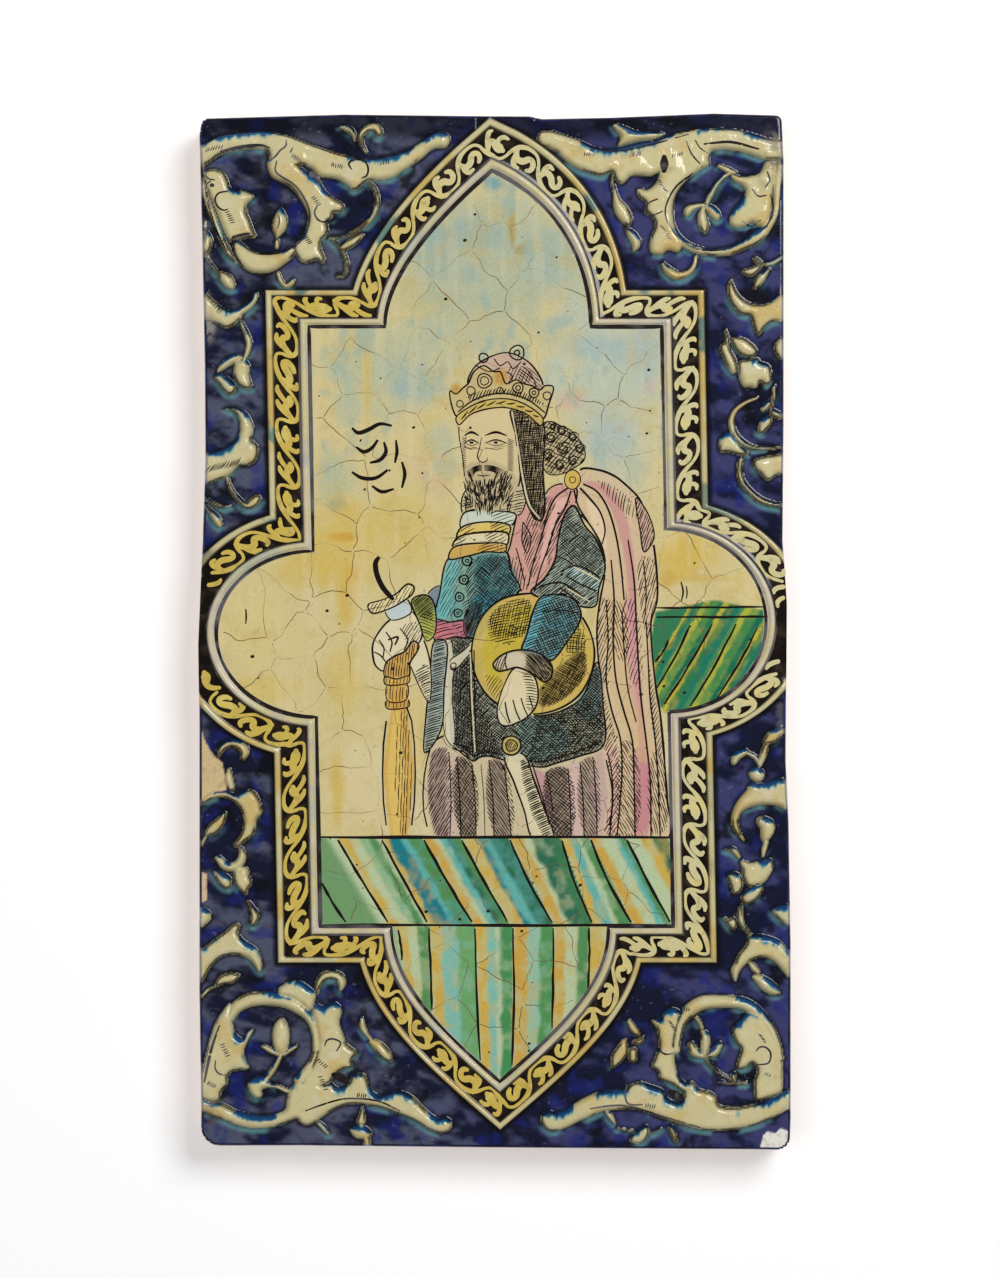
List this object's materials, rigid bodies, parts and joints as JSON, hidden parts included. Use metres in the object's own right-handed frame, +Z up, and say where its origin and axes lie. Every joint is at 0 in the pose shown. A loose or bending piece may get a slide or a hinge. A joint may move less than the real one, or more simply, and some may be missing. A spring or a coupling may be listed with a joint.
{
  "type": "moulded pottery wall tile",
  "caption": "Tall moulded and glazed pottery wall tile: a lobed, pointed frame round a painted standing figure, on blue ground with scrolling leaves in relief.",
  "frame": {"origin": "middle of the flat back face, where the tile beds against the wall", "axes": "+Y out of the back face into the wall, the picture faces -Y, +Z up along the tile's height"},
  "size_m": [0.2866, 0.0282, 0.5014],
  "materials": {
    "glazed_pottery": "gloss"
  },
  "bodies": {
    "root": {"tile": "glazed_pottery"}
  },
  "joints": []
}
